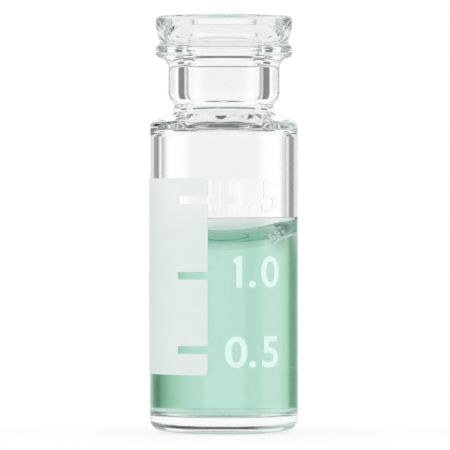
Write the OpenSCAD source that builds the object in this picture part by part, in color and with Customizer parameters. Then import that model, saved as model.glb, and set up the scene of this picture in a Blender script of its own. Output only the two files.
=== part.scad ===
// Glass sample vial, 2 mL: a blown glass body with a snap and crimp finish, a
// fired white writing patch with graduation slots, fired white numerals and the
// green liquid that fills it to about two thirds.
// Millimetres. +Z is up, the origin is on the axis in the plane of the foot,
// and -Y is the front, where the numerals are.

/* [Body] */
// Outside diameter of the body
body_d = 11.6; // [11:0.1:14]
// Height from the foot to the sealing face
vial_h = 32.6; // [30:0.1:50]
// Thickness of the body's wall
wall = 0.85; // [0.6:0.05:1.2]
// Thickness of the floor over the resting ring
floor_t = 1.35; // [1.1:0.05:2.2]
// Radius of the inside corner round the floor
floor_r = 0.5; // [0.3:0.1:1.6]
// Radius of the outside corner at the foot of the body
foot_r = 0.95; // [0.6:0.05:1.4]
// Radius of the domed heel between that corner and the ring on which the vial stands
heel_r = 7; // [5:0.5:10]
// Outside diameter of the ring on which the vial stands
stand_d = 6.8; // [5.6:0.1:8]
// Width of that flat ring
ring_w = 0.6; // [0.4:0.1:1]
// Rise of the hollow under the foot
punt_h = 0.3; // [0.1:0.05:0.6]

/* [Shoulder] */
// Height of the neck's narrowest ring below the sealing face
waist_drop = 7.1; // [6.8:0.05:9]
// Outside diameter of the neck's narrowest ring
waist_d = 7.8; // [7.4:0.1:8.4]
// Slope of the shoulder from the horizontal, in degrees
shoulder_slope = 28; // [20:1:36]
// Radius of the shoulder's outside corner
shoulder_r = 0.5; // [0.3:0.05:0.9]
// Radius of the outside hollow where the shoulder meets the neck
flare_r = 0.45; // [0.3:0.05:0.8]
// Thickness of the glass across the slope of the shoulder
shoulder_t = 0.95; // [0.7:0.05:1.2]
// Radius of the chamber's corner under the shoulder
ceiling_r = 0.6; // [0.4:0.1:0.8]
// Radius of the glass edge at the foot of the bore
throat_r = 1.2; // [0.6:0.1:1.4]
// How far the bore narrows at that edge, all round
throat_pinch = 0.1; // [0.05:0.05:0.4]
// Radius of the bore's hollow above that edge
throat_hollow = 1.5; // [1:0.1:2]

/* [Neck and finish] */
// Outside diameter of the neck
neck_d = 8.7; // [8.5:0.1:9]
// Diameter of the bore through the neck
bore_d = 6; // [5.4:0.1:6.4]
// Radius of the neck's swell above its narrowest ring
swell_r = 1.2; // [0.8:0.1:1.6]
// Outside diameter of the lip and of the snap ring
lip_d = 10.7; // [10.3:0.1:11.2]
// Height of the lip's upright side with its top edge
lip_h = 0.8; // [0.6:0.05:1]
// Radius of the lip's outside top edge
lip_r = 0.4; // [0.2:0.05:0.5]
// Radius of the lip's lower edge
lip_foot_r = 0.3; // [0.1:0.05:0.4]
// How much the mouth's funnel widens the bore, all round
funnel_w = 1.4; // [1.1:0.05:1.6]
// Angle of the funnel's wall from the vertical, in degrees
funnel_a = 35; // [28:1:45]
// Radius of the glass edge where the funnel meets the bore
mouth_r = 1.2; // [0.8:0.1:1.6]
// Radius of the edge between the funnel and the sealing face
edge_r = 0.3; // [0.2:0.05:0.4]
// Angle of the lip's underside from the vertical, in degrees
lip_taper = 14; // [12:0.5:30]
// Diameter at the bottom of the groove between lip and snap ring
groove_d = 10.1; // [9.9:0.05:10.3]
// Radius of the hollow of that groove
groove_r = 0.25; // [0.2:0.05:0.4]
// Radius of the snap ring's two edges
bead_r = 0.42; // [0.35:0.01:0.48]
// Height of the ring's upright face between them
bead_face = 0.25; // [0.1:0.05:0.4]
// Angle of the snap ring's underside from the vertical, in degrees
bead_slope = 72; // [50:1:78]
// Radius of the hollow between that underside and the neck
neck_fillet = 0.9; // [0.5:0.05:1]

/* [Fired enamel] */
// Thickness of the fired white enamel
enamel_t = 0.06; // [0.04:0.01:0.1]
// Height of the writing patch
patch_h = 15.25; // [14.8:0.05:17]
// Height of the patch's lower edge above the foot
patch_z = 4.65; // [3.6:0.05:5]
// Angle of the patch's edge beside the numerals, left of the front
patch_edge = 12.4; // [9:0.1:15]
// Angle that the patch wraps round the body
patch_wrap = 112; // [90:1:150]
// Heights of the graduation slots for 0.5, 1.0 and 1.5 mL above the foot
slot_z = [6.6, 12.35, 18.2];
// Length of a slot round the body
slot_l = 2.55; // [1.5:0.05:3]
// Height of a slot
slot_h = 0.6; // [0.4:0.05:0.8]
// Height of a numeral
digit_h = 2.45; // [2:0.05:2.8]
// Width of a numeral
digit_w = 1.95; // [1.6:0.05:2.1]
// Width of a numeral's stroke
stroke = 0.45; // [0.3:0.05:0.5]
// Heights of the middles of the numerals 0.5, 1.0 and 1.5 above the foot
digit_z = [6.45, 12.65, 18.45];
// Distance round the body from the front to the first numeral's middle
digit_start = 0.95; // [0.6:0.05:1.2]
// Distance round the body between the middles of two numerals
digit_pitch = 2.87; // [2.8:0.05:3.2]

/* [Liquid] */
// Height of the liquid's surface on the axis above the foot
liquid_z = 14.3; // [12:0.1:16]
// Height that the liquid climbs at the glass
meniscus_h = 2.5; // [1:0.1:2.8]
// How steeply the surface meets the glass: 0 for flat and 1 for upright
meniscus_lean = 0.985; // [0.8:0.005:0.99]

/* [Hidden] */
$fn = 96;

glass_colour = [0.86, 0.9, 0.9, 0.45];
enamel_colour = [0.9, 0.93, 0.92];
liquid_colour = [0.6, 0.82, 0.72];

// Steps along an arc of an outline, and along the liquid's surface
arc_steps = 7;
top_steps = 14;
// How far a cutting tool passes beyond the surface that it cuts
pass = 0.5;

body_r = body_d / 2;
chamber_r = body_r - wall;
neck_r = neck_d / 2;
bore_r = bore_d / 2;
waist_r = waist_d / 2;
rim_r = lip_d / 2;
waist_z = vial_h - waist_drop;

// Direction of the shoulder's normal above the horizontal
shoulder_a = 90 - shoulder_slope;

// Points along an arc about a centre, between two angles
function arc(c, r, from, to, steps = arc_steps) =
    [for (i = [0 : steps])
        let (a = from + (to - from) * i / steps)
        [c.x + r * cos(a), c.y + r * sin(a)]];

// How far a corner of a radius falls back from its tangent by an angle
function fall(r, a) = r * (1 - cos(a));

// Rise of a slope between two corners whose outer lines lie a distance apart
function slope_rise(apart, r1, r2) =
    (r1 + r2) * sin(shoulder_a)
    + (apart - fall(r1 + r2, shoulder_a)) * tan(shoulder_slope);

// Foot: a shallow hollow inside a flat resting ring, and a domed heel outside it
stand_r = stand_d / 2;
heel_a = asin((body_r - foot_r - stand_r) / (heel_r - foot_r));
foot_z = heel_r - (heel_r - foot_r) * cos(heel_a);
punt_r = stand_r - ring_w;
punt_sphere = (punt_r * punt_r + punt_h * punt_h) / (2 * punt_h);
punt_a = asin(punt_r / punt_sphere);

// Outside of the shoulder, from the body's last full ring to the narrowest one
shoulder_z = waist_z - slope_rise(body_r - waist_r, shoulder_r, flare_r);

// Inside of the shoulder, parallel to the outside
corner_shift = (body_r - shoulder_r) - (chamber_r - ceiling_r);
ceiling_z = shoulder_z
    - (shoulder_t - shoulder_r + ceiling_r - corner_shift * cos(shoulder_a)) / sin(shoulder_a);
pinch_r = bore_r - throat_pinch;
throat_z = ceiling_z + slope_rise(chamber_r - pinch_r, ceiling_r, throat_r);
pinch_a = acos(1 - throat_pinch / (throat_r + throat_hollow));
hollow_z = throat_z + (throat_r + throat_hollow) * sin(pinch_a);

// Neck: the angle at which its swell meets the hollow at the narrowest ring
swell_a = acos(1 - (neck_r - waist_r) / (flare_r + swell_r));
swell_z = waist_z + (flare_r + swell_r) * sin(swell_a);

// Finish, worked down from the lip
lip_z = vial_h - lip_h;
taper_run = rim_r - groove_d / 2 - fall(lip_foot_r, lip_taper) - fall(groove_r, lip_taper);
groove_z = lip_z - (lip_foot_r + groove_r) * sin(lip_taper) - taper_run / tan(lip_taper);
bead_a = acos(1 - (rim_r - groove_d / 2) / (bead_r + groove_r));
bead_z = groove_z - (bead_r + groove_r) * sin(bead_a);
bead_low_z = bead_z - bead_face;
under_run = rim_r - neck_r - fall(bead_r, bead_slope) - fall(neck_fillet, bead_slope);
fillet_z = bead_low_z - (bead_r + neck_fillet) * sin(bead_slope) - under_run / tan(bead_slope);

// Outside of the glass from the axis under the foot to the lip's top
function outside() = concat(
    arc([0, punt_h - punt_sphere], punt_sphere, 90, 90 - punt_a),
    arc([stand_r, heel_r], heel_r, -90, heel_a - 90),
    arc([body_r - foot_r, foot_z], foot_r, heel_a - 90, 0),
    arc([body_r - shoulder_r, shoulder_z], shoulder_r, 0, shoulder_a),
    arc([waist_r + flare_r, waist_z], flare_r, 180 + shoulder_a, 180 - swell_a),
    arc([neck_r - swell_r, swell_z], swell_r, -swell_a, 0),
    arc([neck_r + neck_fillet, fillet_z], neck_fillet, 180, 180 - bead_slope),
    arc([rim_r - bead_r, bead_low_z], bead_r, -bead_slope, 0),
    arc([rim_r - bead_r, bead_z], bead_r, 0, bead_a),
    arc([groove_d / 2 + groove_r, groove_z], groove_r, 180 + bead_a, 180 - lip_taper),
    arc([rim_r - lip_foot_r, lip_z], lip_foot_r, -lip_taper, 0),
    arc([rim_r - lip_r, vial_h - lip_r], lip_r, 0, 90)
);

// Inside of the chamber from the axis on the floor to the bore over its foot
function chamber() = concat(
    [[0, floor_t]],
    arc([chamber_r - floor_r, floor_t + floor_r], floor_r, -90, 0),
    arc([chamber_r - ceiling_r, ceiling_z], ceiling_r, 0, shoulder_a),
    arc([pinch_r + throat_r, throat_z], throat_r, 180 + shoulder_a, 180 - pinch_a),
    arc([bore_r - throat_hollow, hollow_z], throat_hollow, -pinch_a, 0)
);

// Mouth, from the bore up its funnel to the sealing face
funnel_run = (funnel_w - fall(mouth_r, funnel_a) - edge_r * cos(funnel_a)) / tan(funnel_a);
mouth_z = vial_h - fall(edge_r, 90 - funnel_a) - funnel_run - mouth_r * sin(funnel_a);
function mouth() = concat(
    arc([bore_r + mouth_r, mouth_z], mouth_r, 180, 180 - funnel_a),
    arc([bore_r + funnel_w, vial_h - edge_r], edge_r, 180 - funnel_a, 90)
);

function backwards(points) = [for (i = [len(points) - 1 : -1 : 0]) points[i]];

module glass_body() {
    color(glass_colour)
        rotate_extrude()
            polygon(concat(outside(), backwards(mouth()), backwards(chamber())));
}

// Angle of a distance round the body
function angle_of(along) = along / body_r * 180 / PI;

// A band of the enamel's thickness on the body between two heights
module enamel_band(z0, z1) {
    translate([0, 0, z0])
        difference() {
            cylinder(h = z1 - z0, r = body_r + enamel_t);
            translate([0, 0, -pass])
                cylinder(h = z1 - z0 + 2 * pass, r = body_r);
        }
}

// A block of that band between two angles right of the front, or more of it to cut with
module enamel_block(from, to, z0, z1, over = 0) {
    translate([0, 0, z0])
        rotate([0, 0, from - 90])
            rotate_extrude(angle = to - from)
                translate([body_r - over, 0])
                    square([enamel_t + 2 * over, z1 - z0]);
}

module writing_patch() {
    slot_a = angle_of(slot_l);
    color(enamel_colour)
        difference() {
            enamel_block(-patch_edge - patch_wrap, -patch_edge, patch_z, patch_z + patch_h);
            for (z = slot_z)
                enamel_block(-patch_edge - slot_a, 0, z - slot_h / 2, z + slot_h / 2, pass);
        }
}

// Points along an upright oval about a centre, between two angles
function oval(c, rx, ry, from, to, steps = 18) =
    [for (i = [0 : steps])
        let (a = from + (to - from) * i / steps)
        [c.x + rx * cos(a), c.y + ry * sin(a)]];

// A whole oval in the middle of a numeral, a distance inside its full size
function ring(inset) =
    let (steps = 22)
    oval([0, 0], digit_w / 2 - inset, digit_h / 2 - inset, 0, 360 - 360 / steps, steps - 1);

// Direction from one point to the next, and that direction turned left
function heading(a, b) = (b - a) / norm(b - a);
function left_of(v) = [-v.y, v.x];

// Step sideways from a point of a line that keeps both of its edges one apart
function side_step(line, i) =
    let (last = len(line) - 1)
    let (before = heading(line[max(i - 1, 0)], line[max(i, 1)]))
    let (after = heading(line[min(i, last - 1)], line[min(i + 1, last)]))
    let (both = left_of(before) + left_of(after))
    both * 2 / (both * both);

// Outline of a pen stroke that follows a line of points
function pen(line) = concat(
    [for (i = [0 : len(line) - 1]) line[i] - side_step(line, i) * stroke / 2],
    backwards([for (i = [0 : len(line) - 1]) line[i] + side_step(line, i) * stroke / 2])
);

module digit_0() {
    difference() {
        polygon(ring(0));
        polygon(ring(stroke));
    }
}

module digit_1() {
    foot = -digit_h / 2;
    top = [stroke / 2, digit_h / 2 - stroke / 2];
    flag = [digit_w * 0.3, digit_h * 0.08];
    polygon(pen([top - flag, top, [top.x, foot]]));
}

module digit_5() {
    top = digit_h / 2 - stroke / 2;
    right = digit_w / 2 - stroke / 2;
    left = -right * 0.85;
    rx = digit_w * 0.385;
    ry = digit_h * 0.255;
    middle = [right - rx, ry - top];
    knee = [left, middle.y + ry * 0.65];
    polygon(pen(concat([[right * 0.9, top], [left, top], knee], oval(middle, rx, ry, 105, -150))));
}

module point() {
    translate([0, stroke * 0.6 - digit_h / 2])
        circle(d = stroke * 1.2);
}

// Lays a flat sign on the body at a distance round it and a height
module print_sign(along, z) {
    intersection() {
        enamel_band(z - digit_h, z + digit_h);
        rotate([0, 0, angle_of(along)])
            translate([0, 0, z])
                rotate([90, 0, 0])
                    linear_extrude(height = body_r + pass)
                        children();
    }
}

// Two numerals with a point between them
module numeral(z) {
    print_sign(digit_start, z)
        children(0);
    print_sign(digit_start + digit_pitch * 0.45, z)
        point();
    print_sign(digit_start + digit_pitch, z)
        children(1);
}

module scale_numerals() {
    color(enamel_colour) {
        numeral(digit_z[0]) {
            digit_0();
            digit_5();
        }
        numeral(digit_z[1]) {
            digit_1();
            digit_0();
        }
        numeral(digit_z[2]) {
            digit_1();
            digit_5();
        }
    }
}

// Height of the liquid's surface over its middle at a share of the chamber's radius
function climb(share) =
    meniscus_h * (1 - sqrt(1 - pow(meniscus_lean * share, 2))) / (1 - sqrt(1 - pow(meniscus_lean, 2)));

// Top of the liquid from the glass to the axis
function liquid_top() =
    [for (i = [top_steps : -1 : 0])
        let (share = sin(90 * i / top_steps))
        [chamber_r * share, liquid_z + climb(share)]];

module sample_liquid() {
    color(liquid_colour)
        rotate_extrude()
            polygon(concat(
                [[0, floor_t]],
                arc([chamber_r - floor_r, floor_t + floor_r], floor_r, -90, 0),
                liquid_top()
            ));
}

glass_body();
writing_patch();
scale_numerals();
sample_liquid();
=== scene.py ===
import math

import bmesh
import bpy
from mathutils import Matrix, Vector


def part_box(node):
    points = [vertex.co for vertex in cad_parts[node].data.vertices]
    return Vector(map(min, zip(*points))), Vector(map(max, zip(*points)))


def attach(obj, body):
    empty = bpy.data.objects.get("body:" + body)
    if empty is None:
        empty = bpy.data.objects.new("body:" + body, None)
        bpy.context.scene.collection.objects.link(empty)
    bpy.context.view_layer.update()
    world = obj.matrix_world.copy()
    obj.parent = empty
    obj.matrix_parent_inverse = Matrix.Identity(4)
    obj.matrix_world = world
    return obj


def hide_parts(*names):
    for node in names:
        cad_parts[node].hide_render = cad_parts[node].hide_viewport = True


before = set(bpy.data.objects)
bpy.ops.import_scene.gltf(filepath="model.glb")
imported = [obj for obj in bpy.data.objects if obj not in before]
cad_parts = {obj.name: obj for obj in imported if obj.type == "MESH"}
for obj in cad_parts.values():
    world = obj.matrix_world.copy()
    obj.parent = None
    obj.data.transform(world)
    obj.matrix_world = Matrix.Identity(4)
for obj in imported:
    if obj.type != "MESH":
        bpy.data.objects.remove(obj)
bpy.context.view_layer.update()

bl_info = {
    "name": "Glass Sample Vial",
    "version": (1, 0, 0),
    "blender": (4, 5, 0),
    "location": "3D View > Sidebar > Vial",
    "description": "A small glass vial with a fired white writing patch and a green sample in it",
    "category": "Add Mesh",
}

MM = 0.001
BODY = "root"
# Faces that meet at more than this angle keep a sharp edge
SHARP = math.radians(40)
# Points closer than this are one point
NEAR = 1e-7
PATCH_LOW, PATCH_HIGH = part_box("writing_patch")
BODY_R = 5.8 * MM
# Heights above the foot of the slots and of the numerals' middles, for 0.5, 1.0 and 1.5 mL
SLOT_Z = tuple(z * MM for z in (6.6, 12.35, 18.2))
NUMERAL_Z = tuple(z * MM for z in (6.45, 12.65, 18.45))


# ---------------------------------------------------------------- sizes and colours

class VialGlassSizes(bpy.types.PropertyGroup):
    """The glass of the vial."""

    height: bpy.props.FloatProperty(
        name="Height", description="From the foot to the sealing face",
        default=32.6 * MM, unit="LENGTH")
    body_r: bpy.props.FloatProperty(
        name="Body Radius", description="Outside radius of the body",
        default=BODY_R, unit="LENGTH")
    wall: bpy.props.FloatProperty(
        name="Wall", description="Thickness of the body's wall",
        default=0.85 * MM, unit="LENGTH")
    floor_t: bpy.props.FloatProperty(
        name="Floor", description="Thickness of the floor over the resting ring",
        default=1.35 * MM, unit="LENGTH")
    neck_r: bpy.props.FloatProperty(
        name="Neck Radius", description="Outside radius of the neck",
        default=4.35 * MM, unit="LENGTH")
    bore_r: bpy.props.FloatProperty(
        name="Bore Radius", description="Radius of the bore through the neck",
        default=3.0 * MM, unit="LENGTH")
    waist_r: bpy.props.FloatProperty(
        name="Waist Radius", description="Outside radius of the neck's narrowest ring",
        default=3.9 * MM, unit="LENGTH")
    rim_r: bpy.props.FloatProperty(
        name="Finish Radius", description="Outside radius of the lip and of the snap ring",
        default=5.35 * MM, unit="LENGTH")
    dimple: bpy.props.FloatProperty(
        name="Dimple Depth", description="Depth of the flame-formed dimples round the shoulder",
        default=0.2 * MM, unit="LENGTH")
    dimple_w: bpy.props.FloatProperty(
        name="Dimple Width", description="Reach of a dimple to each side",
        default=0.55 * MM, unit="LENGTH")
    dimple_h: bpy.props.FloatProperty(
        name="Dimple Height", description="Reach of a dimple up and down the slope",
        default=0.40 * MM, unit="LENGTH")
    tint: bpy.props.FloatVectorProperty(
        name="Glass Tint", description="What is left of white light after the tint depth",
        subtype="COLOR", size=3, default=(0.80, 0.90, 0.87))
    tint_per_m: bpy.props.FloatProperty(
        name="Tint Density", description="Strength of the tint for each metre of glass",
        default=18.0)


class SampleSizes(bpy.types.PropertyGroup):
    """The green liquid."""

    level: bpy.props.FloatProperty(
        name="Level", description="Height of the surface on the axis above the foot",
        default=14.3 * MM, unit="LENGTH")
    climb: bpy.props.FloatProperty(
        name="Climb", description="Height that the liquid climbs at the glass",
        default=2.5 * MM, unit="LENGTH")
    wetting: bpy.props.FloatProperty(
        name="Wetting",
        description="How far the liquid reaches into the glass, so that no air shows between",
        default=0.03 * MM, unit="LENGTH")
    colour: bpy.props.FloatVectorProperty(
        name="Liquid Colour", description="What is left of white light after the colour depth",
        subtype="COLOR", size=3, default=(0.252, 0.717, 0.545))
    colour_per_m: bpy.props.FloatProperty(
        name="Colour Density", description="Strength of the colour for each metre of liquid",
        default=100.0)


class EnamelSizes(bpy.types.PropertyGroup):
    """The fired white enamel."""

    thickness: bpy.props.FloatProperty(
        name="Thickness", description="Thickness of the enamel over the glass",
        default=0.06 * MM, unit="LENGTH")
    bond: bpy.props.FloatProperty(
        name="Bond", description="How far the enamel is fused into the glass",
        default=0.03 * MM, unit="LENGTH")
    patch_low: bpy.props.FloatProperty(
        name="Patch Foot", description="Height of the patch's lower edge above the foot",
        default=PATCH_LOW.z, unit="LENGTH")
    patch_high: bpy.props.FloatProperty(
        name="Patch Top", description="Height of the patch's upper edge above the foot",
        default=PATCH_HIGH.z, unit="LENGTH")
    patch_edge: bpy.props.FloatProperty(
        name="Patch Edge", description="Angle of the edge beside the numerals, left of the front",
        default=math.radians(12.4), unit="ROTATION")
    patch_wrap: bpy.props.FloatProperty(
        name="Patch Wrap", description="Angle that the patch wraps round the body",
        default=math.radians(112), unit="ROTATION")
    corner_r: bpy.props.FloatProperty(
        name="Corner Radius", description="Radius of the patch's corners",
        default=0.3 * MM, unit="LENGTH")
    slot_l: bpy.props.FloatProperty(
        name="Slot Length", description="Length of a graduation slot round the body",
        default=2.55 * MM, unit="LENGTH")
    slot_h: bpy.props.FloatProperty(
        name="Slot Height", description="Height of a graduation slot",
        default=0.6 * MM, unit="LENGTH")
    digit_h: bpy.props.FloatProperty(
        name="Numeral Height", description="Height of a numeral",
        default=2.45 * MM, unit="LENGTH")
    colour: bpy.props.FloatVectorProperty(
        name="Enamel Colour", description="Colour of the fired enamel",
        subtype="COLOR", size=3, default=(0.83, 0.87, 0.855))
    thin_colour: bpy.props.FloatVectorProperty(
        name="Numeral Colour", description="Colour of the thinner enamel of the numerals",
        subtype="COLOR", size=3, default=(0.96, 0.985, 0.985))
    # Painted light: the green of light through the liquid behind, painted into the enamel's colour under
    # the liquid's surface
    painted_backlight: bpy.props.FloatVectorProperty(
        name="Liquid Behind", description="What the liquid behind leaves of the enamel's colour",
        subtype="COLOR", size=3, default=(0.925, 0.97, 0.955))
    # Painted light, as above, for the numerals' thinner enamel
    thin_painted_backlight: bpy.props.FloatVectorProperty(
        name="Liquid Behind Numerals",
        description="What the liquid behind leaves of the thinner enamel's colour",
        subtype="COLOR", size=3, default=(0.80, 0.97, 0.883))


class StudioSizes(bpy.types.PropertyGroup):
    """The floor, the light and the camera."""

    elevation: bpy.props.FloatProperty(
        name="Elevation", description="Angle of the camera above the vial's middle",
        default=math.radians(0.15), unit="ROTATION")
    distance: bpy.props.FloatProperty(
        name="Distance", description="From the camera to the vial's axis",
        default=450 * MM, unit="LENGTH")
    view_h: bpy.props.FloatProperty(
        name="View Height", description="Height that the frame takes in at the vial",
        default=35.21 * MM, unit="LENGTH")
    floor_r: bpy.props.FloatProperty(
        name="Floor Radius", description="Radius of the round floor",
        default=45 * MM, unit="LENGTH")
    light: bpy.props.FloatProperty(
        name="Light", description="Strength of the light from all round", default=1.0)
    card: bpy.props.FloatProperty(
        name="Card Grey", description="Brightness of the dark cards that draw the glass's edges",
        default=0.16, min=0, max=1, subtype="FACTOR")
    low: bpy.props.FloatProperty(
        name="Dark Below", description="How dark the room under the level view is",
        default=0.15, min=0, max=1, subtype="FACTOR")
    high: bpy.props.FloatProperty(
        name="Dark Above", description="How dark the room over the light is",
        default=1.0, min=0, max=1, subtype="FACTOR")


# ---------------------------------------------------------------- building aids

class Outline:
    """A wire in the plane of the axis, drawn by lines and arcs, to be turned about the axis."""

    # Longest step along an arc
    STEP = math.radians(5)
    # How far from a straight line's ends its two extra points lie
    GUARD = 0.08 * MM

    def __init__(self, bm, r, z):
        self.bm = bm
        self.end = bm.verts.new((r, 0, z))

    def _reach(self, r, z):
        made = bmesh.ops.extrude_vert_indiv(self.bm, verts=[self.end])
        self.end = made["verts"][0]
        self.end.co = (r, 0, z)

    def line(self, r, z):
        """A straight line with a point close to each end, so that shading stays true along it."""
        start, goal = self.end.co.copy(), Vector((r, 0, z))
        run = goal - start
        if run.length < NEAR:
            return
        if run.length > 4 * self.GUARD:
            for share in (self.GUARD / run.length, 1 - self.GUARD / run.length):
                near = start + run * share
                self._reach(near.x, near.z)
        self._reach(r, z)

    def run(self, r, z, steps):
        """A straight line cut into equal steps, for a skin that is shaped afterwards."""
        start = self.end.co.copy()
        for i in range(steps):
            share = (i + 1) / steps
            self._reach(start.x + (r - start.x) * share, start.z + (z - start.z) * share)

    def arc(self, centre, radius, first, last, steps=None):
        """Goes to an arc's first angle and along it; degrees, counterclockwise from outwards."""
        first, last = math.radians(first), math.radians(last)
        r, z = centre
        self.line(r + radius * math.cos(first), z + radius * math.sin(first))
        steps = steps or max(2, math.ceil(abs(last - first) / self.STEP))
        made = bmesh.ops.spin(
            self.bm, geom=[self.end], cent=(r, 0, z), axis=(0, -1, 0),
            angle=last - first, steps=steps, use_duplicate=False)
        self.end = corners(made["geom_last"])[0]


def corners(geometry):
    """The vertices among an operator's results."""
    return [part for part in geometry if isinstance(part, bmesh.types.BMVert)]


def turned(bm, segments):
    """Turns every wire of the mesh once round the axis and closes it."""
    bmesh.ops.spin(
        bm, geom=bm.verts[:] + bm.edges[:], cent=(0, 0, 0), axis=(0, 0, 1),
        angle=math.tau, steps=segments, use_merge=True, use_duplicate=False)
    bmesh.ops.remove_doubles(bm, verts=bm.verts[:], dist=NEAR)
    bmesh.ops.dissolve_degenerate(bm, edges=bm.edges[:], dist=NEAR / 10)
    bmesh.ops.recalc_face_normals(bm, faces=bm.faces[:])
    for edge in bm.edges:
        edge.smooth = edge.calc_face_angle(0) < SHARP


def bubble(bm, angle, r, z, radius):
    """A round hollow in a clear piece; the angle runs from the front to the right."""
    where = Matrix.Rotation(angle, 4, "Z") @ Matrix.Translation((0, -r, z)) @ Matrix.Scale(radius, 4)
    made = bmesh.ops.create_icosphere(bm, subdivisions=3, radius=1, matrix=where)
    faces = list({f for v in made["verts"] for f in v.link_faces})
    bmesh.ops.reverse_faces(bm, faces=faces)


def shown(name, bm, material, smooth=False):
    """Makes an object of a mesh and gives it its finish."""
    mesh = bpy.data.meshes.new(name)
    bm.to_mesh(mesh)
    bm.free()
    for face in mesh.polygons:
        face.use_smooth = smooth
    mesh.materials.append(material)
    made = bpy.data.objects.new(name, mesh)
    bpy.context.scene.collection.objects.link(made)
    return made


def piece(name, bm, material, stands_for, smooth=True):
    """Makes a piece of the vial, which rides on its body and stands for one of its nodes."""
    made = shown(name, bm, material, smooth)
    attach(made, BODY)
    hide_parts(stands_for)


class Signal:
    """One output in a shader's tree, on which sums are written as on a number."""

    def __init__(self, tree, socket):
        self.tree, self.socket = tree, socket

    def _math(self, operation, *values):
        return self.tree.add("ShaderNodeMath", {"operation": operation}, values)

    def __add__(self, other):
        return self._math("ADD", self, other)

    __radd__ = __add__

    def __sub__(self, other):
        return self._math("SUBTRACT", self, other)

    def __rsub__(self, other):
        return self._math("SUBTRACT", other, self)

    def __mul__(self, other):
        return self._math("MULTIPLY", self, other)

    __rmul__ = __mul__

    def __truediv__(self, other):
        return self._math("DIVIDE", self, other)

    def __rtruediv__(self, other):
        return self._math("DIVIDE", other, self)

    def root(self):
        return self._math("SQRT", self)

    def over(self, other):
        """The larger of the two."""
        return self._math("MAXIMUM", self, other)

    def between(self, low, high):
        """0 below low, 1 above high, and a smooth rise between."""
        return self.tree.add(
            "ShaderNodeMapRange", {"interpolation_type": "SMOOTHSTEP"},
            {"Value": self, "From Min": low, "From Max": high})

    def band(self, foot, top, soft):
        """1 between two levels and 0 under and over them."""
        return self.between(foot - soft, foot + soft) * (1 - self.between(top - soft, top + soft))


class Tree:
    """The nodes of a material or a world."""

    def __init__(self, owner):
        owner.use_nodes = True
        self.nodes, self.links = owner.node_tree.nodes, owner.node_tree.links
        self.nodes.clear()

    def add(self, kind, settings=None, values=None, out=0):
        """Adds a node: its settings first, then its sockets' values or links; gives an output."""
        node = self.nodes.new(kind)
        for key, value in (settings or {}).items():
            if key == "stops":
                ramp = node.color_ramp
                for place, colour in value[len(ramp.elements):]:
                    ramp.elements.new(place)
                for stop, (place, colour) in zip(ramp.elements, value):
                    stop.position, stop.color = place, colour
            else:
                setattr(node, key, value)
        pairs = values.items() if isinstance(values, dict) else enumerate(values or ())
        for key, value in pairs:
            socket = node.inputs[key]
            if isinstance(value, Signal):
                self.links.new(value.socket, socket)
            elif isinstance(value, (int, float)) or not hasattr(socket.default_value, "__len__"):
                socket.default_value = value
            else:
                wanted = len(socket.default_value)
                socket.default_value = (tuple(value) + (1.0,))[:wanted]
        return Signal(self, node.outputs[out]) if len(node.outputs) else node

    def parts(self, whole, *names):
        """Several outputs of the node that one of them comes from."""
        return [Signal(self, whole.socket.node.outputs[name]) for name in names]

    def mixed(self, share, first, second, blend="MIX"):
        """One colour fading into another, or into their product."""
        return self.add(
            "ShaderNodeMix", {"data_type": "RGBA", "blend_type": blend},
            {0: share, 6: first, 7: second}, out=2)

    def place(self, scale=(1, 1, 1)):
        """The place on the object, stretched for a pattern."""
        coords = self.add("ShaderNodeTexCoord", out="Object")
        return self.add(
            "ShaderNodeMapping", {"vector_type": "POINT"}, {"Vector": coords, "Scale": scale})

    def axes(self, where):
        """The three parts of a place or a direction."""
        return self.parts(self.add("ShaderNodeSeparateXYZ", None, {0: where}), 0, 1, 2)

    def noise(self, where, scale, detail):
        return self.add(
            "ShaderNodeTexNoise", None,
            {"Vector": where, "Scale": scale, "Detail": detail, "Roughness": 0.5})

    def relief(self, height):
        """The surface's direction over fine unevenness; the height is in metres."""
        return self.add("ShaderNodeBump", None, {"Height": height, "Strength": 1.0, "Distance": 1.0})

    def glow(self, strength=1.0):
        """Plain white light."""
        return self.add("ShaderNodeEmission", None, {"Color": (1, 1, 1), "Strength": strength})

    def rays(self, *kinds):
        """For each kind of ray: 1 when such a ray looks, otherwise 0."""
        path = self.add("ShaderNodeLightPath")
        return self.parts(path, *(f"Is {kind} Ray" for kind in kinds))

    def output(self, surface, volume=None, kind="ShaderNodeOutputMaterial"):
        values = {"Surface": surface}
        if volume:
            values["Volume"] = volume
        self.add(kind, None, values)


def finish(name):
    """An empty material and its tree."""
    material = bpy.data.materials.new(name)
    return material, Tree(material)


# ---------------------------------------------------------------- finishes

def clear_glass(sizes):
    """Drawn and flame-formed borosilicate glass."""
    material, tree = finish("clear_glass")
    drawn = tree.noise(tree.place((1, 1, 0.02)), scale=900, detail=2)
    formed = tree.noise(tree.place(), scale=450, detail=1)
    surface = tree.add("ShaderNodeBsdfPrincipled", None, {
        "Base Color": (1.0, 1.0, 1.0), "Roughness": 0.0, "IOR": 1.49, "Transmission Weight": 1.0,
        "Normal": tree.relief(drawn * 1.2e-6 + formed * 2.0e-6)})
    tint = tree.add("ShaderNodeVolumeAbsorption", None, {
        "Color": sizes.tint, "Density": sizes.tint_per_m})
    tree.output(surface, tint)
    return material


def green_sample(sizes):
    """Clear green liquid."""
    material, tree = finish("green_sample")
    surface = tree.add("ShaderNodeBsdfPrincipled", None, {
        "Base Color": (1.0, 1.0, 1.0), "Roughness": 0.0, "IOR": 1.333, "Transmission Weight": 1.0})
    colour = tree.add("ShaderNodeVolumeAbsorption", None, {
        "Color": sizes.colour, "Density": sizes.colour_per_m})
    tree.output(surface, colour)
    return material


# Heights between which the painted green light from the liquid behind the enamel gives way to the plain
# colour where air is behind
PAINTED_BACKLIGHT_Z = (15.0 * MM, 18.0 * MM)
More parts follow.
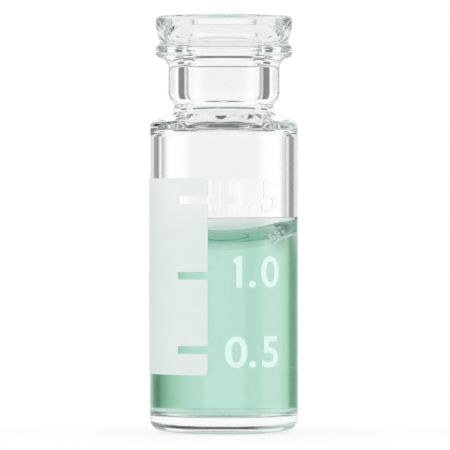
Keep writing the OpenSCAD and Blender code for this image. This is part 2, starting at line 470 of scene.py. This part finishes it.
# Places left of the axis between which painted shade darkens the enamel towards its side turned away from
# the light, and what is left of its colour there
PAINTED_SHADE_X = (-6.2 * MM, -3.0 * MM)
PAINTED_SHADE = (0.93, 0.93, 0.93)
# The darker parts of the enamel's faint clouds
CLOUDED = (0.98, 0.98, 0.98)
# Depth of the skin in which the enamel's inner side glows, a painted stand-in for the light that comes
# through it, and the glow's share
INNER_SKIN = 0.02 * MM
INNER_PAINTED_GLOW = 0.55


def fired_enamel(name, shade, painted_backlight):
    """White enamel, screen-printed and fired, with a fine grain. The light it lets through is painted: the
    liquid's green in its colour and a glow on its inner side; painted shade darkens its left side.
    """
    material, tree = finish(name)
    where = tree.place()
    cloud = tree.noise(where, scale=600, detail=3)
    grain = tree.noise(where, scale=14000, detail=2)
    x, y, z = tree.axes(where)
    # Painted light: under the liquid's surface the colour takes the green of the light that comes through
    # the liquid behind
    painted_backlight_share = 1 - z.between(*PAINTED_BACKLIGHT_Z)
    body = tree.mixed(painted_backlight_share, shade, tuple(c * k for c, k in zip(shade, painted_backlight)))
    # Painted shade: the enamel darkens towards the left, where its side turns away from the light
    painted_shade_tone = tree.mixed(1 - x.between(*PAINTED_SHADE_X), (1.0, 1.0, 1.0), PAINTED_SHADE)
    body = tree.mixed(1.0, body, painted_shade_tone, "MULTIPLY")
    colour = tree.mixed(cloud.between(0.3, 0.7), body, CLOUDED, "MULTIPLY")
    # Painted light: the enamel's inner side glows by itself, in place of the light that comes through it
    # from the glass
    inner = 1 - (x * x + y * y).root().between(BODY_R - INNER_SKIN, BODY_R)
    light = tree.mixed(inner, (0.0, 0.0, 0.0), tuple(c * INNER_PAINTED_GLOW for c in shade))
    tree.output(tree.add("ShaderNodeBsdfPrincipled", None, {
        "Base Color": colour, "Roughness": 0.36 + grain * 0.12, "IOR": 1.5,
        "Normal": tree.relief(grain * 2.5e-6 + cloud * 4e-6),
        "Emission Color": light, "Emission Strength": 1.0}))
    return material


# ---------------------------------------------------------------- operators

class MakeVialGlass(bpy.types.Operator):
    """Turn the vial's glass about its axis and press the dimples of its shoulder"""

    bl_idname = "vial.make_glass"
    bl_label = "Glass"
    SEGMENTS = 320
    # Each dimple: degrees from the front to the right, radius in millimetres, share of size and of depth
    DIMPLES = (
        (-57, 4.5, 0.4, 0.5), (-46, 4.8, 0.5, 0.6), (-35, 5.0, 0.8, 0.8), (-3, 5.12, 1.0, 1.1),
        (19, 5.1, 1.0, 0.9), (36, 5.0, 0.8, 0.9), (46, 4.8, 0.5, 0.6), (57, 4.5, 0.4, 0.5),
        (108, 4.9, 0.6, 0.7), (146, 5.0, 0.7, 0.8), (-172, 5.0, 0.6, 0.8), (-128, 4.9, 0.6, 0.7))
    # Steps along the hollow under the foot, the heel and the shoulder's slope
    PUNT_STEPS, HEEL_STEPS, SLOPE_STEPS = 8, 4, 14
    # How far above the shoulder's corner the dimples begin
    DIMPLE_FOOT = 0.1 * MM

    def execute(self, context):
        s = context.scene.vial_glass
        bm = bmesh.new()
        shoulder_z, waist_z = self.section(bm, s)
        turned(bm, self.SEGMENTS)
        self.dimple(bm, s, shoulder_z + self.DIMPLE_FOOT, waist_z)
        piece("vial_glass", bm, clear_glass(s), "glass_body")
        return {"FINISHED"}

    def section(self, bm, s):
        """Draws the glass's outline from the hollow under the foot up the outside and back inside.

        Lengths in here are millimetres and angles are degrees; it gives the heights of the
        shoulder's corner and of the neck's narrowest ring.
        """
        sin, cos, tan = (lambda a, f=f: f(math.radians(a)) for f in (math.sin, math.cos, math.tan))
        body, chamber, floor = (v / MM for v in (s.body_r, s.body_r - s.wall, s.floor_t))
        neck, bore, waist, rim, top = (v / MM for v in (s.neck_r, s.bore_r, s.waist_r, s.rim_r, s.height))

        # Foot: its corner, the domed heel, the corner inside at the floor, the resting ring's outer
        # radius and width, and the height of the hollow
        foot_r, heel_r, floor_r, ring_out, ring_w, punt = 0.95, 7.0, 0.5, 3.4, 0.6, 0.3
        # Shoulder: its slope, its corner, the hollow at the neck's narrow ring, the swell over it, and
        # how far the narrow ring lies under the top
        slope, shoulder_r, flare_r, swell_r, waist_drop = 28.0, 0.5, 0.45, 1.2, 7.1
        normal = 90 - slope
        # Inside: the chamber's upper corner, the edge at the foot of the bore, the hollow over it, how
        # far the edge stands in, and the glass's thickness
        ceiling_r, throat_r, throat_hollow, pinch, thick = 0.6, 1.2, 1.5, 0.1, 0.95
        # Lip: its height, its upper and lower edge and its taper
        lip_h, lip_r, lip_foot_r, taper = 0.8, 0.4, 0.3, 14
        # Mouth: the round at the funnel's foot, its edge, its angle and its width
        mouth_r, edge_r, cone, funnel = 1.2, 0.3, 35, 1.4
        # Groove: its radius and its corner. Snap ring: its edges, its upright face, the angle of its
        # underside and the hollow below
        groove, groove_r, bead_r, bead_face, under, hollow_r = 5.05, 0.25, 0.42, 0.25, 72, 0.9

        def fall(r, a):
            return r * (1 - cos(a))

        def rise(apart, both_r):
            return both_r * sin(normal) + (apart - fall(both_r, normal)) * tan(slope)

        def arc(r, z, radius, first, last, steps=None):
            wire.arc((r * MM, z * MM), radius * MM, first, last, steps)

        heel_a = math.degrees(math.asin((body - foot_r - ring_out) / (heel_r - foot_r)))
        foot_z = heel_r - (heel_r - foot_r) * cos(heel_a)
        punt_w = ring_out - ring_w
        ball = (punt_w ** 2 + punt ** 2) / (2 * punt)
        punt_a = math.degrees(math.asin(punt_w / ball))
        waist_z = top - waist_drop
        shoulder_z = waist_z - rise(body - waist, shoulder_r + flare_r)
        shift = (body - shoulder_r) - (chamber - ceiling_r)
        ceiling_z = shoulder_z - (thick - shoulder_r + ceiling_r - shift * cos(normal)) / sin(normal)
        edge = bore - pinch
        throat_z = ceiling_z + rise(chamber - edge, ceiling_r + throat_r)
        pinch_a = math.degrees(math.acos(1 - pinch / (throat_r + throat_hollow)))
        hollow_top = throat_z + (throat_r + throat_hollow) * sin(pinch_a)
        swell_a = math.degrees(math.acos(1 - (neck - waist) / (flare_r + swell_r)))
        swell_z = waist_z + (flare_r + swell_r) * sin(swell_a)
        lip_z = top - lip_h
        run = rim - groove - fall(lip_foot_r, taper) - fall(groove_r, taper)
        groove_z = lip_z - (lip_foot_r + groove_r) * sin(taper) - run / tan(taper)
        bead_a = math.degrees(math.acos(1 - (rim - groove) / (bead_r + groove_r)))
        bead_z = groove_z - (bead_r + groove_r) * sin(bead_a)
        under_run = rim - neck - fall(bead_r, under) - fall(hollow_r, under)
        hollow_z = bead_z - bead_face - (bead_r + hollow_r) * sin(under) - under_run / tan(under)
        wall_run = (funnel - mouth_r * (1 - cos(cone)) - edge_r * cos(cone)) / sin(cone)
        mouth_z = top - edge_r * (1 - sin(cone)) - wall_run * cos(cone) - mouth_r * sin(cone)

        wire = Outline(bm, 0, punt * MM)
        arc(0, punt - ball, ball, 90, 90 - punt_a, self.PUNT_STEPS)
        arc(ring_out, heel_r, heel_r, -90, heel_a - 90, self.HEEL_STEPS)
        arc(body - foot_r, foot_z, foot_r, heel_a - 90, 0)
        arc(body - shoulder_r, shoulder_z, shoulder_r, 0, normal)
        wire.run(
            (waist + flare_r * (1 - cos(normal))) * MM, (waist_z - flare_r * sin(normal)) * MM,
            self.SLOPE_STEPS)
        arc(waist + flare_r, waist_z, flare_r, 180 + normal, 180 - swell_a)
        arc(neck - swell_r, swell_z, swell_r, -swell_a, 0)
        arc(neck + hollow_r, hollow_z, hollow_r, 180, 180 - under)
        arc(rim - bead_r, bead_z - bead_face, bead_r, -under, 0)
        arc(rim - bead_r, bead_z, bead_r, 0, bead_a)
        arc(groove + groove_r, groove_z, groove_r, 180 + bead_a, 180 - taper)
        arc(rim - lip_foot_r, lip_z, lip_foot_r, -taper, 0)
        arc(rim - lip_r, top - lip_r, lip_r, 0, 90)
        arc(bore + funnel, top - edge_r, edge_r, 90, 180 - cone)
        arc(bore + mouth_r, mouth_z, mouth_r, 180 - cone, 180)
        arc(bore - throat_hollow, hollow_top, throat_hollow, 0, -pinch_a)
        arc(edge + throat_r, throat_z, throat_r, 180 - pinch_a, 180 + normal)
        arc(chamber - ceiling_r, ceiling_z, ceiling_r, normal, 0)
        arc(chamber - floor_r, floor + floor_r, floor_r, 0, -90)
        wire.line(0, floor * MM)
        return shoulder_z * MM, waist_z * MM

    def dimple(self, bm, s, low, high):
        """Presses the dimples into the shoulder's outer skin between two heights."""
        for v in bm.verts:
            r = math.hypot(v.co.x, v.co.y)
            if not low < v.co.z < high or r < s.waist_r:
                continue
            angle = math.atan2(v.co.x, -v.co.y)
            sunk = 0
            for turn, middle, size, share in self.DIMPLES:
                along = math.remainder(angle - math.radians(turn), math.tau) * r / s.dimple_w / size
                down = (r - middle * MM) / s.dimple_h / size
                sunk += share * math.exp(-along ** 2 - down ** 2)
            v.co.z -= s.dimple * sunk


class MakeSample(bpy.types.Operator):
    """Fill the chamber with the sample, up to a surface that climbs at the glass"""

    bl_idname = "vial.make_sample"
    bl_label = "Sample"
    SEGMENTS = 192
    # How steeply the surface meets the glass: 0 for flat and 1 for upright
    LEAN = 0.998
    SURFACE_STEPS = 26
    # Slope of the whole surface, up to the right
    TILT = math.radians(0.6)
    # The part of the level above which the mesh leans with the surface
    LEANING = 0.8
    CORNER_R = 0.5 * MM
    # Height of the wet edge at the glass, above the curved surface
    WET_EDGE = 0.02 * MM
    # Each bubble: degrees from the front to the right, height and radius in millimetres
    BUBBLES = (
        (41, 15.12, 0.12), (45, 15.40, 0.20), (46, 15.00, 0.15), (50, 15.22, 0.24), (51, 15.68, 0.15),
        (55, 14.96, 0.13), (56, 15.48, 0.26), (60, 15.18, 0.18), (62, 15.70, 0.16), (66, 15.44, 0.14))
    # Liquid between a bubble and the wall, in millimetres
    BUBBLE_GAP = 0.06

    def execute(self, context):
        s, g = context.scene.vial_sample, context.scene.vial_glass
        chamber = g.body_r - g.wall
        skin, bed, corner = chamber + s.wetting, g.floor_t - s.wetting, self.CORNER_R + s.wetting
        bm = bmesh.new()
        wire = Outline(bm, 0, s.level)
        reach = chamber / self.LEAN
        wire.arc(
            (0, s.level + reach), reach, -90, math.degrees(math.asin(self.LEAN)) - 90, self.SURFACE_STEPS)
        drop = reach * (1 - math.sqrt(1 - self.LEAN ** 2))
        for v in bm.verts:
            v.co.z = s.level + (v.co.z - s.level) * s.climb / drop
        wire.end.co.z = s.level + s.climb
        wire.line(skin, s.level + s.climb + self.WET_EDGE)
        wire.arc((skin - corner, bed + corner), corner, 0, -90)
        wire.line(0, bed)
        turned(bm, self.SEGMENTS)
        for v in bm.verts:
            if v.co.z > s.level * self.LEANING:
                v.co.z += v.co.x * math.tan(self.TILT)
        for angle, z, r in self.BUBBLES:
            bubble(bm, math.radians(angle), chamber - (r + self.BUBBLE_GAP) * MM, z * MM, r * MM)
        piece("sample", bm, green_sample(s), "sample_liquid")
        return {"FINISHED"}


def wrapped(bm, radius):
    """Bends a flat sign in the front's plane round the body; x goes round and y goes out."""
    for v in bm.verts:
        turn = v.co.x / radius
        out = radius + v.co.y
        v.co.x, v.co.y = out * math.sin(turn), -out * math.cos(turn)


class MakePatch(bpy.types.Operator):
    """Print the writing patch with its graduation slots"""

    bl_idname = "vial.make_patch"
    bl_label = "Writing Patch"
    # Angle between the lines along which the flat patch bends round the body
    BEND = math.radians(2.5)
    # Radius of a slot's corners as a share of its height
    SLOT_ROUND = 0.22

    def execute(self, context):
        s, g = context.scene.vial_enamel, context.scene.vial_glass
        right = -s.patch_edge * g.body_r
        left = right - s.patch_wrap * g.body_r
        bm = bmesh.new()
        ends = [bm.verts.new((x, 0, z)) for x, z in (
            (left, s.patch_low), (right, s.patch_low), (right, s.patch_high), (left, s.patch_high))]
        bm.faces.new(ends)
        slot_end, half = right - s.slot_l, s.slot_h * 0.5
        self.cut(bm, (slot_end, 0, 0), (1, 0, 0))
        for z in SLOT_Z:
            for edge in (z - half, z + half):
                self.cut(bm, (0, 0, edge), (0, 0, 1))

        def in_slot(middle):
            return middle.x > slot_end and any(abs(middle.z - z) < half for z in SLOT_Z)

        def on_slot(place):
            return place.x > slot_end - NEAR and any(
                abs(abs(place.z - z) - half) < NEAR for z in SLOT_Z)

        gone = [f for f in bm.faces if in_slot(f.calc_center_median())]
        bmesh.ops.delete(bm, geom=gone, context="FACES")
        self.round_corners(bm, s.corner_r, [v for v in bm.verts if v in ends])
        self.round_corners(bm, s.slot_h * self.SLOT_ROUND, [v for v in bm.verts if on_slot(v.co)])
        step = self.BEND * g.body_r
        x = left + step
        while x < right:
            self.cut(bm, (x, 0, 0), (1, 0, 0))
            x += step
        bmesh.ops.recalc_face_normals(bm, faces=bm.faces[:])
        slab(bm, -s.bond, s.thickness)
        wrapped(bm, g.body_r)
        bmesh.ops.recalc_face_normals(bm, faces=bm.faces[:])
        enamel = fired_enamel("patch_enamel", s.colour, s.painted_backlight)
        piece("patch_enamel", bm, enamel, "writing_patch", smooth=False)
        return {"FINISHED"}

    @staticmethod
    def cut(bm, through, facing):
        """Cuts the flat patch along a line."""
        bmesh.ops.bisect_plane(
            bm, geom=bm.verts[:] + bm.edges[:] + bm.faces[:], plane_co=through, plane_no=facing,
            dist=NEAR / 100)

    @staticmethod
    def round_corners(bm, radius, chosen):
        bmesh.ops.bevel(
            bm, geom=chosen, offset=radius, offset_type="OFFSET", affect="VERTICES",
            segments=4, profile=0.5, material=-1)


def slab(bm, inner, outer):
    """Gives a flat sign its thickness, from one depth to another; y is outwards until it is bent."""
    faces = bm.faces[:]
    for v in bm.verts:
        v.co.y = inner
    made = bmesh.ops.extrude_face_region(bm, geom=faces)
    for v in corners(made["geom"]):
        v.co.y = outer
    bmesh.ops.recalc_face_normals(bm, faces=bm.faces[:])


class MakeNumerals(bpy.types.Operator):
    """Print the scale's numerals"""

    bl_idname = "vial.make_numerals"
    bl_label = "Numerals"
    # Distance round the body from the front to the first numeral's middle, and on to the second's
    FIRST = 0.95 * MM
    PITCH = 2.87 * MM
    # The point's height, and its place on the way from one numeral to the next
    DOT = 0.54 * MM
    DOT_AT = 0.45
    # How much the typeface is widened, and how much its strokes swell to each side
    WIDE = 1.1
    BOLD = 0.018
    # Width of the 1's stem, and how far its flag reaches down and to the left
    STROKE = 0.45 * MM
    FLAG = Vector((0.42, 0.26)) * MM

    def execute(self, context):
        s, g = context.scene.vial_enamel, context.scene.vial_glass
        bm = bmesh.new()
        for words, z in zip(("05", "10", "15"), NUMERAL_Z):
            dot_z = z - (s.digit_h - self.DOT) / 2
            self.sign(bm, s, words[0], self.FIRST, z, s.digit_h)
            self.sign(bm, s, words[1], self.FIRST + self.PITCH, z, s.digit_h)
            self.sign(bm, s, ".", self.FIRST + self.PITCH * self.DOT_AT, dot_z, self.DOT)
        wrapped(bm, g.body_r)
        bmesh.ops.recalc_face_normals(bm, faces=bm.faces[:])
        enamel = fired_enamel("numeral_enamel", s.thin_colour, s.thin_painted_backlight)
        piece("numeral_enamel", bm, enamel, "scale_numerals", smooth=False)
        return {"FINISHED"}

    def sign(self, bm, s, letter, x, z, height):
        """Adds one sign with its middle at a place."""
        flat = bmesh.new()
        if letter == "1":
            flat.faces.new([flat.verts.new((x + across, 0, z + up)) for across, up in self.one(height)])
        else:
            self.typed(flat, letter, x, z, height)
        slab(flat, -s.bond, s.thickness)
        mesh = bpy.data.meshes.new("sign")
        flat.to_mesh(mesh)
        flat.free()
        bm.from_mesh(mesh)
        bpy.data.meshes.remove(mesh)

    def one(self, height):
        """Corners of a 1; its stem stands right of the middle, which leaves room for the flag."""
        half, tall = self.STROKE / 2, height / 2
        along = self.FLAG.normalized()
        side = Vector((-along.y, along.x)) * half
        start = Vector((half, tall - half)) - self.FLAG
        slope = self.FLAG.y / self.FLAG.x
        upper, lower = start + side, start - side
        return (
            (0, -tall), (self.STROKE, -tall), (self.STROKE, tall),
            (upper.x + (tall - upper.y) / slope, tall), upper, lower, (0, lower.y - lower.x * slope))

    def typed(self, flat, letter, x, z, height):
        """Adds one sign of a plain typeface, brought to a height about its middle."""
        words = bpy.data.curves.new("sign", "FONT")
        words.body = letter
        words.size = 1.0
        words.offset = self.BOLD
        words.resolution_u = 6
        words.fill_mode = "FRONT"
        typed = bpy.data.objects.new("sign", words)
        bpy.context.scene.collection.objects.link(typed)
        bpy.context.view_layer.update()
        drawn = typed.evaluated_get(bpy.context.evaluated_depsgraph_get())
        flat.from_mesh(bpy.data.meshes.new_from_object(drawn))
        bpy.data.objects.remove(typed)
        bmesh.ops.remove_doubles(flat, verts=flat.verts[:], dist=1e-5)
        low = [min(v.co[i] for v in flat.verts) for i in (0, 1)]
        high = [max(v.co[i] for v in flat.verts) for i in (0, 1)]
        grown = height / (high[1] - low[1])
        for v in flat.verts:
            along = (v.co.x - (low[0] + high[0]) / 2) * grown * self.WIDE
            up = (v.co.y - (low[1] + high[1]) / 2) * grown
            v.co = (x + along, 0, z + up)


class MakeStudio(bpy.types.Operator):
    """Set up the floor, the light from all round and the camera"""

    bl_idname = "vial.make_studio"
    bl_label = "Studio"
    # Rays that leave the glass see these cards. A card goes from one angle to another, in degrees
    # from behind the vial, + to the right. A band of heights goes from one to another, as sines of
    # the angle above the level. The third number of both is how softly they end. The first cards
    # stand at the sides, the second where the rays are level.
    CARDS = ((-150, -120, 4), (-60, -31, 4), (31, 62, 4), (120, 150, 4))
    CARD_Z = (-0.055, 0.35, 0.01)
    LEVEL_CARDS = ((-150, -120, 4), (-43, -21, 4), (22, 44, 6), (120, 150, 4))
    LEVEL_Z = (-0.02, 0.0135, 0.001)
    # Colours that the rays through the liquid see, by the same angles
    LOW_CARD_Z = (-0.046, -0.008, 0.003)
    LOW_CARDS = (
        (-150, (1.0, 1.0, 1.0)), (-142, (0.3, 0.45, 0.36)), (-120, (0.3, 0.45, 0.36)),
        (-112, (1.0, 1.0, 1.0)), (-74, (1.0, 1.0, 1.0)), (-60, (0.17, 0.28, 0.21)),
        (-49, (0.20, 0.34, 0.26)), (-39, (0.30, 0.46, 0.36)), (-36.5, (0.45, 0.62, 0.50)),
        (-34, (0.78, 0.93, 0.80)), (-26, (0.87, 0.96, 0.90)), (-12, (1.0, 1.0, 1.0)),
        (12, (1.0, 1.0, 1.0)), (18.6, (0.60, 0.81, 0.65)), (27, (0.31, 0.565, 0.43)),
        (33, (0.20, 0.42, 0.31)), (38, (0.07, 0.175, 0.125)), (62, (0.10, 0.16, 0.13)),
        (74, (1.0, 1.0, 1.0)), (112, (1.0, 1.0, 1.0)), (120, (0.3, 0.45, 0.36)),
        (142, (0.3, 0.45, 0.36)), (150, (1.0, 1.0, 1.0)))
    # The dark parts of the room: behind the camera, below, and above the light
    FRONT = ((-190, -115, 6), (115, 190, 6))
    FRONT_Z = (-0.05, 0.75, 0.04)
    LOW_Z = (-2.0, -0.10, 0.02)
    HIGH_Z = (0.56, 0.64)
    # The low ring of white card round the foot
    FOOT_CARD_R = 6.6 * MM
    FOOT_CARD_H = 1.6 * MM
    # The floor glows by itself and keeps its shadow near the foot: its glow at the foot and the
    # distances over which it grows to the whole, and what a ray through the glass misses of it
    FLOOR_GLOW = 0.82
    FLOOR_FADE = (8 * MM, 26 * MM)
    FLOOR_DIM = 0.13
    # Height that the camera looks at, and its shift as a share of the frame's width
    LOOK_Z = 17.5 * MM
    SHIFT_X, SHIFT_Y = 1 / 450, -16 / 450

    def execute(self, context):
        s, scene = context.scene.vial_studio, context.scene
        self.floor(s)
        self.foot_card()
        self.world(s)
        self.camera(s)
        scene.view_settings.view_transform = "Standard"
        scene.cycles.max_bounces = 24
        scene.cycles.transmission_bounces = 24
        scene.cycles.glossy_bounces = 12
        scene.cycles.diffuse_bounces = 4
        return {"FINISHED"}

    def floor(self, s):
        """A pale round floor, white farther out."""
        bm = bmesh.new()
        bmesh.ops.create_circle(bm, cap_ends=True, segments=96, radius=s.floor_r)
        material, tree = finish("pale_floor")
        where = tree.place()
        away = tree.add("ShaderNodeVectorMath", {"operation": "LENGTH"}, {0: where}, out="Value")
        mottle = tree.noise(where, scale=220, detail=2)
        pale = tree.mixed(mottle, (0.93, 0.93, 0.93), (0.95, 0.95, 0.95))
        board = tree.add("ShaderNodeBsdfPrincipled", None, {"Base Color": pale, "Roughness": 0.55})
        through, mirrored = tree.rays("Transmission", "Glossy")
        clear = through.over(mirrored)
        white = tree.glow(1.0 - clear * self.FLOOR_DIM)
        share = (self.FLOOR_GLOW + (1 - self.FLOOR_GLOW) * away.between(*self.FLOOR_FADE)).over(clear)
        tree.output(tree.add("ShaderNodeMixShader", None, {0: share, 1: board, 2: white}))
        floor = shown("floor", bm, material)

    def foot_card(self):
        """A low white card round the foot, which only the rays through the glass see."""
        bm = bmesh.new()
        bmesh.ops.create_cone(
            bm, cap_ends=False, segments=96, radius1=self.FOOT_CARD_R, radius2=self.FOOT_CARD_R,
            depth=self.FOOT_CARD_H, matrix=Matrix.Translation((0, 0, self.FOOT_CARD_H / 2)))
        material, tree = finish("white_card")
        tree.output(tree.glow())
        card = shown("foot_card", bm, material)
        card.visible_camera = False
        card.visible_diffuse = False
        card.visible_shadow = False

    def world(self, s):
        """Even light; clear glass sees white ahead and at the sides, and dark cards between."""
        world = bpy.data.worlds.new("studio")
        bpy.context.scene.world = world
        tree = Tree(world)
        x, y, z = tree.axes(tree.add("ShaderNodeTexCoord", out="Generated"))
        turn = tree.add("ShaderNodeMath", {"operation": "ARCTAN2"}, (x, y)) / math.tau + 0.5
        level = z.band(*self.LEVEL_Z)
        sides = self.ring(tree, turn, self.CARDS) * z.band(*self.CARD_Z) * (1 - level)
        sides = sides.over(self.ring(tree, turn, self.LEVEL_CARDS) * level)
        front = self.ring(tree, turn, self.FRONT) * z.band(*self.FRONT_Z)
        below = z.band(*self.LOW_Z) * s.low
        above = z.between(*self.HIGH_Z) * s.high
        grey = 1 - sides.over(front).over(below).over(above) * (1 - s.card)
        low = self.ramp(tree, turn, self.LOW_CARDS)
        seen = tree.mixed(z.band(*self.LOW_CARD_Z), grey, low)
        through, mirrored, direct = tree.rays("Transmission", "Glossy", "Camera")
        clear = through.over(mirrored)
        lit = s.light + direct * (1 - s.light)
        back = tree.add(
            "ShaderNodeBackground", None, {"Color": tree.mixed(clear, lit, seen), "Strength": 1.0})
        tree.output(back, kind="ShaderNodeOutputWorld")

    @staticmethod
    def ramp(tree, turn, colours):
        """Colours by angle all round."""
        stops = [((angle + 180) / 360, (*colour, 1)) for angle, colour in colours]
        return tree.add("ShaderNodeValToRGB", {"stops": stops}, {0: turn})

    def ring(self, tree, turn, cards):
        """1 on the cards that stand between two angles, 0 beside them."""
        edges = [
            edge for low, high, soft in cards
            for edge in ((low - soft, 0), (low + soft, 1), (high - soft, 1), (high + soft, 0))]
        return self.ramp(tree, turn, [(angle, (share,) * 3) for angle, share in edges if abs(angle) <= 180])

    def camera(self, s):
        """Level with the vial and far away, so that its lines stay upright."""
        data = bpy.data.cameras.new("camera")
        data.sensor_width = 36
        data.lens = data.sensor_width * s.distance / s.view_h
        data.clip_start = 0.01
        data.clip_end = 10
        data.shift_x, data.shift_y = self.SHIFT_X, self.SHIFT_Y
        camera = bpy.data.objects.new("camera", data)
        bpy.context.scene.collection.objects.link(camera)
        away = Vector((0, -math.cos(s.elevation), math.sin(s.elevation)))
        camera.location = Vector((0.0, 0.0, self.LOOK_Z)) + s.distance * away
        camera.rotation_euler = (math.pi / 2 - s.elevation, 0, 0)
        bpy.context.scene.camera = camera


class VialPanel(bpy.types.Panel):
    """Lists the vial's pieces"""

    bl_idname = "VIEW3D_PT_vial"
    bl_label = "Sample Vial"
    bl_space_type = "VIEW_3D"
    bl_region_type = "UI"
    bl_category = "Vial"

    def draw(self, context):
        for group, operator in PARTS:
            box = self.layout.box()
            sizes = getattr(context.scene, group)
            for name in sizes.__annotations__:
                box.prop(sizes, name)
            box.operator(operator.bl_idname)


GROUPS = (
    ("vial_glass", VialGlassSizes),
    ("vial_sample", SampleSizes),
    ("vial_enamel", EnamelSizes),
    ("vial_studio", StudioSizes),
)
PARTS = (
    ("vial_glass", MakeVialGlass),
    ("vial_sample", MakeSample),
    ("vial_enamel", MakePatch),
    ("vial_enamel", MakeNumerals),
    ("vial_studio", MakeStudio),
)
CLASSES = [kind for _, kind in GROUPS] + [kind for _, kind in PARTS] + [VialPanel]


def register():
    for kind in CLASSES:
        bpy.utils.register_class(kind)
    for name, kind in GROUPS:
        setattr(bpy.types.Scene, name, bpy.props.PointerProperty(type=kind))


def unregister():
    for name, _ in GROUPS:
        delattr(bpy.types.Scene, name)
    for kind in reversed(CLASSES):
        bpy.utils.unregister_class(kind)


def main():
    register()
    bpy.ops.vial.make_glass()
    bpy.ops.vial.make_sample()
    bpy.ops.vial.make_patch()
    bpy.ops.vial.make_numerals()
    bpy.ops.vial.make_studio()


if __name__ == "__main__":
    main()
